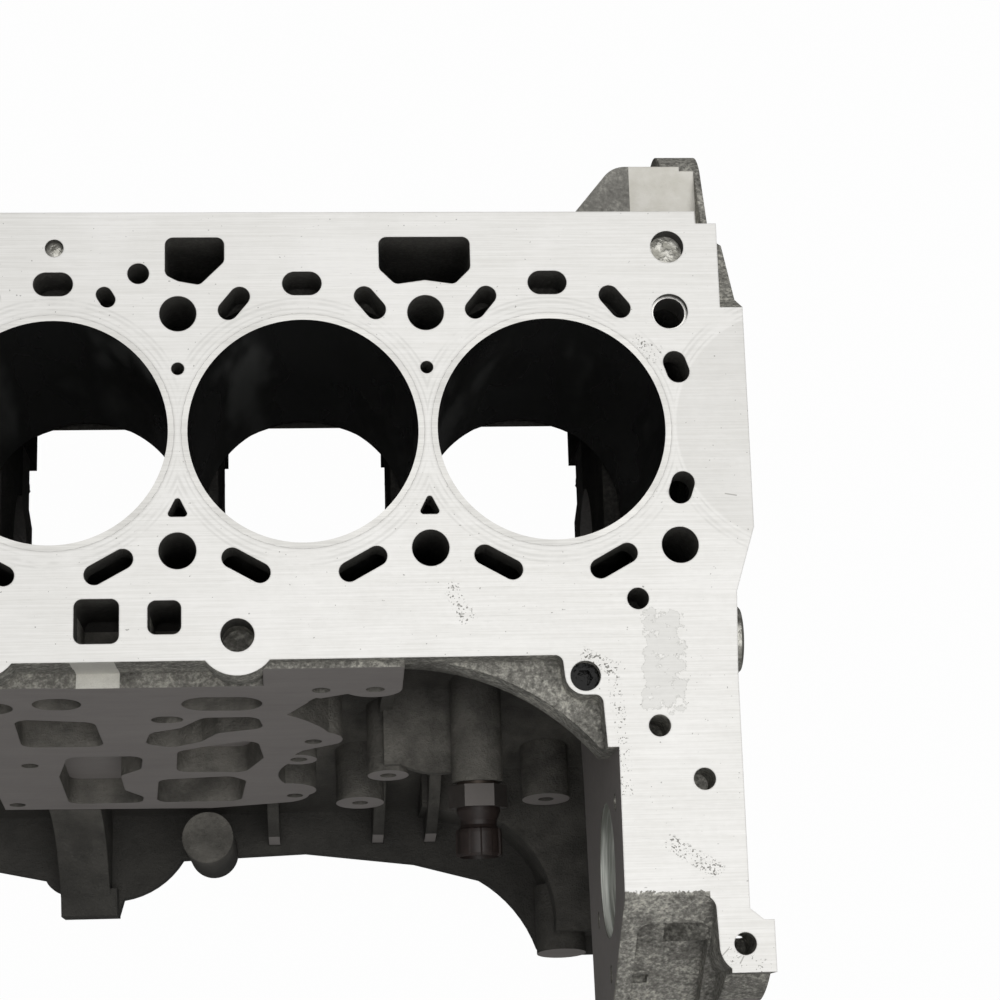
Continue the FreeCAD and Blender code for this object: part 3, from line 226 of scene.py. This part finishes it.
pebbles = casting.noise(620, 4, 0.68)
grains = casting.noise(2300, 2, 0.6)
clouds = casting.noise(28, 4, 0.6)
patches = casting.noise(85, 3, 0.6)
runs = casting.noise(1, 3, 0.6, casting.stretched(70, 70, 9))

# The skin: pale speckled grains near the deck, browner and oilier down the pump side, painted
# shade that is nearly black behind the switch and darker with depth inside the jacket, and darker
# towards the bottom of the skirt.
OIL_BROWN, OIL_PALE = (0.070, 0.066, 0.057), (0.215, 0.203, 0.178)
PAINTED_SHADE_BEHIND_SWITCH = (0.016, 0.015, 0.013)
JACKET_SHADE_DEEP, JACKET_SHADE_TOP = (0.020, 0.019, 0.017), (0.075, 0.072, 0.064)
SKIRT_BOTTOM_DARK = (0.030, 0.0285, 0.025)
spread = pebbles * 0.55 + patches * 0.25 + clouds * 0.2
clean = casting.node("ShaderNodeValToRGB", {"stops": (
    (0.36, (0.075, 0.072, 0.062)), (0.50, (0.27, 0.262, 0.235)),
    (0.63, (0.72, 0.70, 0.62)))}, {0: spread})
oily = casting.mix(runs.rise(0.3, 0.7) * 0.6 + patches.rise(0.3, 0.7) * 0.4,
                   OIL_BROWN, OIL_PALE)
housing = (casting.x > PUMP_FACE + 0.0005) * (casting.z > HOUSING_FLOOR)
pump_side = casting.y.rise(0.01, -0.05) * (1 - housing)
oil = pump_side * (casting.z + clouds * 0.02).rise(0.222, 0.196)
tone = casting.mix(oil * 0.93, clean, oily)
# Painted shade: the wall behind the switch, under the deck edge, is painted nearly black.
shade = casting.y.rise(-0.094, -0.070) * (casting.x.rise(0.040, 0.065)) * pump_side
tone = casting.mix(shade * casting.z.rise(0.215, 0.19) * 0.72, tone, PAINTED_SHADE_BEHIND_SWITCH)
# Painted shade inside the jacket and the deck's ports: nearly black deep down, lighter near the
# deck.
jacket_shade = (casting.y > -PORTS_REACH) * (casting.y < PORTS_REACH) * (casting.x < BEHIND_FLANGE)
jacket_shade = jacket_shade * (casting.y > -JACKET_WALL).highest(casting.z > DECK - PORTS_DEPTH)
jacket_shade = jacket_shade * (casting.x > low.x + 0.004) * (1 - on_deck)
tone = casting.mix(jacket_shade * 0.9, tone,
                   casting.mix(casting.z.rise(0.205, 0.226), JACKET_SHADE_DEEP, JACKET_SHADE_TOP))
# Darker towards the bottom of the skirt on the pump side.
low_down = (casting.z + clouds * 0.05).rise(0.09, -0.02)
tone = casting.mix(low_down * pump_side * 0.85, tone, SKIRT_BOTTOM_DARK)

# One facet under the deck edge, wiped clean, and the paler side of the ear.
FACET_X, FACET_HALF, FACET_FOOT, FACET_FRONT = -0.0302, 0.0079, 0.199, -0.083
EAR_START, EAR_ROOT = 0.14, 0.084
facet = abs(casting.x - FACET_X) < FACET_HALF
facet = facet * (casting.z > FACET_FOOT) * (casting.y < FACET_FRONT)
facet_tone = casting.mix(grains * 0.5 + patches * 0.5, (0.60, 0.585, 0.53), (1.0, 0.98, 0.90))
tone = casting.mix(facet, tone, facet_tone)
ear_side = (casting.x > EAR_START) * (casting.x < EAR_PAD) * (casting.y > EAR_ROOT)
tone = casting.mix(ear_side * 0.45, tone, (0.33, 0.32, 0.295))

# The milled flanges: finely scratched grey, warmer where oil has dried on the module's flange.
side_grain = casting.noise(1, 3, 0.6, casting.stretched(40, 300, 300))
side_tone = casting.mix(side_grain * 0.5 + clouds * 0.5, (0.25, 0.23, 0.222),
                        (0.42, 0.392, 0.375))
# The register's bright bands are painted highlights on its machined bore.
register_highlight_bands = casting.noise(1, 3, 0.6, casting.stretched(420, 18, 18))
register_tone_and_highlights = casting.mix(register_highlight_bands.rise(0.35, 0.65), (0.26, 0.27, 0.24),
                            (0.93, 0.95, 0.89))
end_tone = casting.mix(casting.noise(1, 3, 0.6, casting.stretched(60, 90, 900)),
                       (0.60, 0.59, 0.56), (0.76, 0.75, 0.72))
ear_tone = casting.mix(patches.rise(0.3, 0.7) * 0.5 + clouds * 0.5, (0.62, 0.60, 0.53),
                       (0.82, 0.80, 0.75))

# The deck: straight cutter lines, faint rings where the gasket sealed, stains and specks.
lines = casting.noise(1, 3, 0.7, casting.stretched(22, 1500, 60))
fine_lines = casting.noise(1, 1, 0.5, casting.stretched(130, 4600, 90))
deck_tone = casting.mix(lines.rise(0.30, 0.72), (0.715, 0.705, 0.675), (0.80, 0.79, 0.765))
deck_tone = casting.mix(clouds.rise(0.42, 0.75) * 0.45, deck_tone, (0.84, 0.83, 0.81))
deck_tone = casting.mix(fine_lines.rise(0.62, 0.80) * 0.30, deck_tone, (0.52, 0.515, 0.49))

barrel_x = casting.x.math("WRAP", casting.x, PITCH, 0.0) - PITCH / 2
from_bore = (barrel_x ** 2 + casting.y ** 2) ** 0.5
for ring, width in ((0.0462, 0.00025), (0.0484, 0.0004), (0.0502, 0.0003)):
    trace = abs(from_bore - ring).rise(width * 2.2, width * 0.4)
    deck_tone = casting.mix(trace * patches.rise(0.35, 0.60) * 0.26, deck_tone,
                            (0.45, 0.445, 0.42))
bore_rim = from_bore.rise(BORE_EDGE + 0.0012, BORE_EDGE + 0.0002)
deck_tone = casting.mix(bore_rim * 0.25, deck_tone, (0.50, 0.49, 0.46))

# Dried sealant beside the arm, in worn islands with a darker outline.
patch = casting.strip((0.1745, -0.076), (0.1735, -0.098), 0.0030, 0.013)
islands = casting.noise(240, 4, 0.65) * 0.62 + patch * 0.38
film = islands.rise(0.600, 0.612)
outline = film - islands.rise(0.616, 0.632)
deck_tone = casting.mix(film * 0.40, deck_tone, (0.58, 0.575, 0.55))
deck_tone = casting.mix(outline * 0.40, deck_tone, (0.34, 0.335, 0.31))

# Fine dirt: thrown all over, thick beside the plug, on the arm and by two of the ports.  Each
# smudge lies along a line, from one place to another, with its half width and its thinness.
DIRT = (0.13, 0.125, 0.11)
dirt = casting.specks(760, 0.735) * 0.7
for start, stop, reach, level in (
        ((0.1745, -0.1530), (0.1890, -0.1620), 0.0008, 0.56),
        ((0.1465, -0.0850), (0.1545, -0.0890), 0.0004, 0.56),
        ((0.1550, -0.0900), (0.1572, -0.1060), 0.0003, 0.59),
        ((0.1572, -0.1060), (0.1590, -0.1330), 0.0002, 0.63),
        ((0.1700, 0.0315), (0.1745, 0.0285), 0.0010, 0.60),
        ((0.0985, -0.0600), (0.1030, -0.0690), 0.0010, 0.60),
        ((0.1950, -0.1930), (0.2040, -0.1965), 0.0010, 0.62)):
    zone = casting.strip(start, stop, reach, 0.0036) * (0.5 + patches)
    dirt = dirt.highest(casting.specks(1350, level, 0.05) * zone.rise(0.15, 0.7))
deck_tone = casting.mix(dirt * 0.9, deck_tone, DIRT)
for start, stop in (
        ((0.1890, -0.1935), (0.1925, -0.1900)),
        ((0.1965, -0.1950), (0.1978, -0.1927)),
        ((0.1995, -0.0255), (0.2035, -0.0262))):
    nick = casting.strip(start, stop, 0.00012, 0.0002)
    deck_tone = casting.mix(nick * 0.65, deck_tone, (0.25, 0.24, 0.22))

# The cutter stops at a ragged cast edge along the arm.
ARM_EDGE, ARM_FROM, ARM_TO = -0.1695, 0.150, 0.187
arm_edge = casting.y + (pebbles - 0.5) * 0.0045 < ARM_EDGE
arm_edge = arm_edge * (casting.x < ARM_TO) * (casting.x > ARM_FROM)
on_deck = on_deck * (1 - arm_edge)

tone = casting.mix(on_module.highest(on_pump_face), tone, side_tone)
tone = casting.mix(on_register, tone, register_tone_and_highlights)
tone = casting.mix(on_gearbox_end.highest(on_timing_end).highest(on_rail), tone, end_tone)
tone = casting.mix(on_ear, tone, ear_tone)
tone = casting.mix(on_deck, tone, deck_tone)
milled = on_deck.highest(on_module).highest(on_gearbox_end).highest(on_timing_end)
milled = milled.highest(on_rail).highest(on_pump_face).highest(on_register)
milled = milled.highest(on_ear * 0.8)
sand = pebbles * 0.7 + grains * 0.3
rounded = casting.node("ShaderNodeBevel", {"samples": 2}, {"Radius": 0.0007})
cast_relief = casting.bump(sand * (1 - milled), 0.0015, rounded)
mill_relief = casting.bump((lines * 0.6 + fine_lines * 0.4) * on_deck, 0.00004, cast_relief)
casting.wear(Base_Color=tone, Normal=mill_relief,
             Roughness=0.74 - milled * 0.22 + pebbles * 0.12 - oil * (1 - milled) * 0.22,
             Metallic=milled * 0.35)
casting.put_on(block)

# ------------------------------------------------------------------------------- the liners
# Four thin iron sleeves pressed into the barrels, their top rims milled with the deck.  The
# bores are honed and blackened with oil.
liner = Finish("honed_iron", IOR=1.32)
rim = (liner.nz > SQUARE) * (liner.z > DECK - SKIN)
honed = liner.noise(1, 2, 0.6, liner.stretched(60, 60, 900))
soot = liner.noise(18, 3, 0.6)
smears_and_sheen = liner.noise(1, 3, 0.55, liner.stretched(34, 34, 9))
rim_lines = liner.noise(1, 3, 0.7, liner.stretched(22, 1500, 60))
rim_tone = liner.mix(rim_lines.rise(0.3, 0.72), (0.66, 0.65, 0.62), (0.76, 0.75, 0.72))
bore_tone = liner.mix(soot, (0.009, 0.009, 0.009), (0.022, 0.0225, 0.022))
# The lighter streaks down the bores are painted sheen; the same noise also varies their
# roughness.
bore_tone = liner.mix(smears_and_sheen.rise(0.50, 0.68) * (1 - rim), bore_tone, (0.085, 0.087, 0.084))
liner.wear(Base_Color=liner.mix(rim, bore_tone, rim_tone),
           Roughness=0.24 + smears_and_sheen.rise(0.35, 0.65) * 0.16 + rim * 0.25,
           Normal=liner.bump(honed, 0.000004),
           Metallic=rim * 0.35)
for number in range(1, 5):
    liner.put_on(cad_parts["cylinder_liner_%d" % number])

# ------------------------------------------------------------------------- the bearing caps
# Five cast-iron caps, bored in line with the block and held by flanged bolts with a dark
# phosphate finish.
cap = Finish("cap_iron", Metallic=0.2)
cap_grain = cap.noise(900, 4, 0.65)
cap.wear(Base_Color=cap.mix(cap_grain, (0.10, 0.095, 0.09), (0.26, 0.25, 0.24)),
         Roughness=0.5 + cap_grain * 0.2, Normal=cap.bump(cap_grain, 0.0004))
for number in range(1, 6):
    cap.put_on(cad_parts["main_bearing_cap_%d" % number])

bolt = Finish("phosphated_steel", Metallic=0.8)
bolt_grain = bolt.noise(1500, 2)
bolt.wear(Base_Color=bolt.mix(bolt_grain, (0.05, 0.05, 0.05), (0.12, 0.12, 0.115)),
          Roughness=0.42 + bolt_grain * 0.15)
bolt.put_on(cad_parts["main_cap_bolts"])

# --------------------------------------------------------------------------- plugs and dowels
# Pressed steel core and deck plugs, the screw plug in the deck, the gallery plug and the
# hollow dowels.
plug = Finish("plug_steel", Metallic=0.7)
plug_grain = plug.noise(180, 4, 0.6)
plug_clouds = plug.noise(260, 3, 0.6).rise(0.35, 0.65)
plug.wear(Base_Color=plug.mix(plug_clouds * 0.7 + plug_grain * 0.3, (0.17, 0.165, 0.14),
                              (0.50, 0.49, 0.45)),
          Roughness=0.30 + plug_grain * 0.2, Normal=plug.bump(plug_clouds, 0.0002))
for name in ("small_deck_plug", "large_deck_plug", "gallery_end_plug"):
    plug.put_on(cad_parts[name])

cup = Finish("zinc_plated_cup", Metallic=0.85)
cup_grain = cup.noise(240, 4, 0.6)
cup.wear(Base_Color=cup.mix(cup_grain, (0.46, 0.45, 0.41), (0.78, 0.77, 0.72)),
         Roughness=0.26 + cup_grain * 0.22)
for number in range(1, 5):
    cup.put_on(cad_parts["core_plug_%d" % number])

black = Finish("blackened_steel", IOR=1.2)
black_grain = black.noise(600, 3)
black.wear(Base_Color=black.mix(black_grain, (0.002, 0.002, 0.002), (0.010, 0.010, 0.009)),
           Roughness=0.10 + black_grain * 0.12, Normal=black.bump(black_grain, 0.0004))
black.put_on(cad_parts["deck_screw_plug"])

dowel = Finish("ground_steel", Metallic=0.9)
dowel_grain = dowel.noise(700, 2)
dowel.wear(Base_Color=dowel.mix(dowel_grain, (0.38, 0.37, 0.35), (0.55, 0.54, 0.52)),
           Roughness=0.28 + dowel_grain * 0.12)
for name in ("head_dowel_1", "head_dowel_2", "gearbox_dowel_1", "gearbox_dowel_2"):
    dowel.put_on(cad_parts[name])

# -------------------------------------------------------------------- the oil pressure switch
# A plated steel hexagon screwed in on a soft metal ring, with a moulded connector gone dark
# brown with oil.
switch = Finish("dull_plating", Metallic=0.4)
switch_grain = switch.noise(300, 3)
switch.wear(Base_Color=switch.mix(switch_grain, (0.055, 0.048, 0.044), (0.115, 0.104, 0.095)),
            Roughness=0.35 + switch_grain * 0.2)
switch.put_on(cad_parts["oil_switch_body"])

seal = Finish("seal_copper", Metallic=0.7)
seal_grain = seal.noise(400, 2)
seal.wear(Base_Color=seal.mix(seal_grain, (0.050, 0.040, 0.033), (0.10, 0.078, 0.062)),
          Roughness=0.4 + seal_grain * 0.15)
seal.put_on(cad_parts["oil_switch_seal"])

connector = Finish("oily_plastic")
connector_grain = connector.noise(500, 3)
connector.wear(Base_Color=connector.mix(connector_grain, (0.012, 0.009, 0.008),
                                        (0.035, 0.022, 0.018)),
               Roughness=0.42 + connector_grain * 0.2)

# The moulding narrows behind the hexagon and carries grip ribs round its mouth.  Its outline
# is turned round the switch's axis: each point gives how far out along it and the radius, in
# millimetres, and the last points go back in to the floor of the socket.
corner, far_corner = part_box("oil_switch_connector")
axis_x, axis_z = (corner.x + far_corner.x) / 2, (corner.z + far_corner.z) / 2
AROUND = 96
GRIPS, GRIP_DEPTH = 12, 0.0006
GRIPS_FROM, GRIPS_RADIUS = 8.9, 8.9
MOULDING = ((0.0, 6.0), (0.0, 8.9), (1.4, 9.0), (3.2, 8.3), (5.2, 7.5), (7.0, 7.4), (8.2, 8.0),
            (8.9, 9.2), (10.2, 9.4), (18.6, 9.5), (19.6, 9.0), (19.9, 8.2), (13.0, 7.8),
            (13.0, 0.2))
corners = []
faces = []
for ring, (down, radius) in enumerate(MOULDING):
    ribbed = down >= GRIPS_FROM and radius > GRIPS_RADIUS
    for step in range(AROUND):
        angle = 2 * math.pi * step / AROUND
        groove = GRIP_DEPTH if ribbed and (step * GRIPS // AROUND) % 2 else 0.0
        reach = radius / 1000 - groove
        corners.append((axis_x + reach * math.cos(angle), far_corner.y - down / 1000,
                        axis_z + reach * math.sin(angle)))
        if ring:
            after = (step + 1) % AROUND
            below = (ring - 1) * AROUND
            faces.append((below + step, below + after, below + AROUND + after,
                          below + AROUND + step))
faces.append(tuple(range(AROUND)))
faces.append(tuple(range(len(corners) - AROUND, len(corners)))[::-1])
moulding_mesh = bpy.data.meshes.new("switch_moulding")
moulding_mesh.from_pydata(corners, [], faces)
moulding_mesh.update()
moulding = bpy.data.objects.new("switch_moulding", moulding_mesh)
bpy.context.scene.collection.objects.link(moulding)
connector.put_on(moulding)
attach(moulding, "root")
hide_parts("oil_switch_connector")

# ------------------------------------------------------------------------------------ studio
# A pale floor under the pan rail, which the lens sees as white with only a trace of the
# shadow, two softboxes above and in front, and an even white sky.
FLOOR_HALF = 6.0
floor_mesh = bpy.data.meshes.new("floor")
floor_mesh.from_pydata([(-FLOOR_HALF, -FLOOR_HALF, RAIL), (FLOOR_HALF, -FLOOR_HALF, RAIL),
                        (FLOOR_HALF, FLOOR_HALF, RAIL), (-FLOOR_HALF, FLOOR_HALF, RAIL)],
                       [], [(0, 1, 2, 3)])
floor = bpy.data.objects.new("floor", floor_mesh)
bpy.context.scene.collection.objects.link(floor)

ground = Finish("pale_floor", Base_Color=(0.19, 0.19, 0.187, 1), Roughness=0.9)
seen, through = ground.node("ShaderNodeLightPath",
                            outputs=("Is Camera Ray", "Is Transmission Ray"))
glow = ground.node("ShaderNodeEmission", None, {"Color": (1, 1, 1), "Strength": 1.0})
both = ground.node("ShaderNodeMixShader", None,
                   {0: seen.highest(through) * 0.985,
                    1: Wire(ground, ground.shader.outputs[0]), 2: glow})
ground.tree.links.new(both.socket, ground.output.inputs[0])
floor_mesh.materials.append(ground.material)

world = bpy.data.worlds.new("studio")
bpy.context.scene.world = world
world.use_nodes = True
nodes = world.node_tree.nodes
links = world.node_tree.links
nodes.clear()
path = nodes.new("ShaderNodeLightPath")
sky = nodes.new("ShaderNodeBackground")
sky.inputs["Color"].default_value = (1.0, 1.0, 1.0, 1)
sky.inputs["Strength"].default_value = 0.22
clear = nodes.new("ShaderNodeBackground")
clear.inputs["Color"].default_value = (1.0, 1.0, 1.0, 1)
clear.inputs["Strength"].default_value = 1.0
choose = nodes.new("ShaderNodeMixShader")
last = nodes.new("ShaderNodeOutputWorld")
links.new(path.outputs["Is Camera Ray"], choose.inputs[0])
links.new(sky.outputs[0], choose.inputs[1])
links.new(clear.outputs[0], choose.inputs[2])
links.new(choose.outputs[0], last.inputs[0])


def lamp(name, place, aim, size, power):
    """A rectangular softbox, aimed at a point of the block."""
    light = bpy.data.lights.new(name, "AREA")
    light.shape = "RECTANGLE"
    light.size, light.size_y = size
    light.energy = power
    made = bpy.data.objects.new(name, light)
    made.location = place
    made.rotation_euler = (Vector(aim) - Vector(place)).to_track_quat("-Z", "Y").to_euler()
    bpy.context.scene.collection.objects.link(made)


lamp("overhead", (0.28, 0.0, 1.9), (0.05, 0, 0.2), (1.8, 1.4), 24)
lamp("front", (0.3, -1.7, 1.3), (0.05, 0, 0.1), (1.6, 1.0), 4)

camera = bpy.data.cameras.new("camera")
camera.sensor_width = 36
camera.lens = 90.02
camera.clip_start = 0.05
camera.clip_end = 30
viewer = bpy.data.objects.new("camera", camera)
viewer.location = (0.0472, -0.2362, 1.1130)
viewer.rotation_euler = Euler([math.radians(a) for a in (13.4072, -4.1129, -1.6087)], "XYZ")
bpy.context.scene.collection.objects.link(viewer)
bpy.context.scene.camera = viewer
bpy.context.scene.view_settings.view_transform = "Standard"
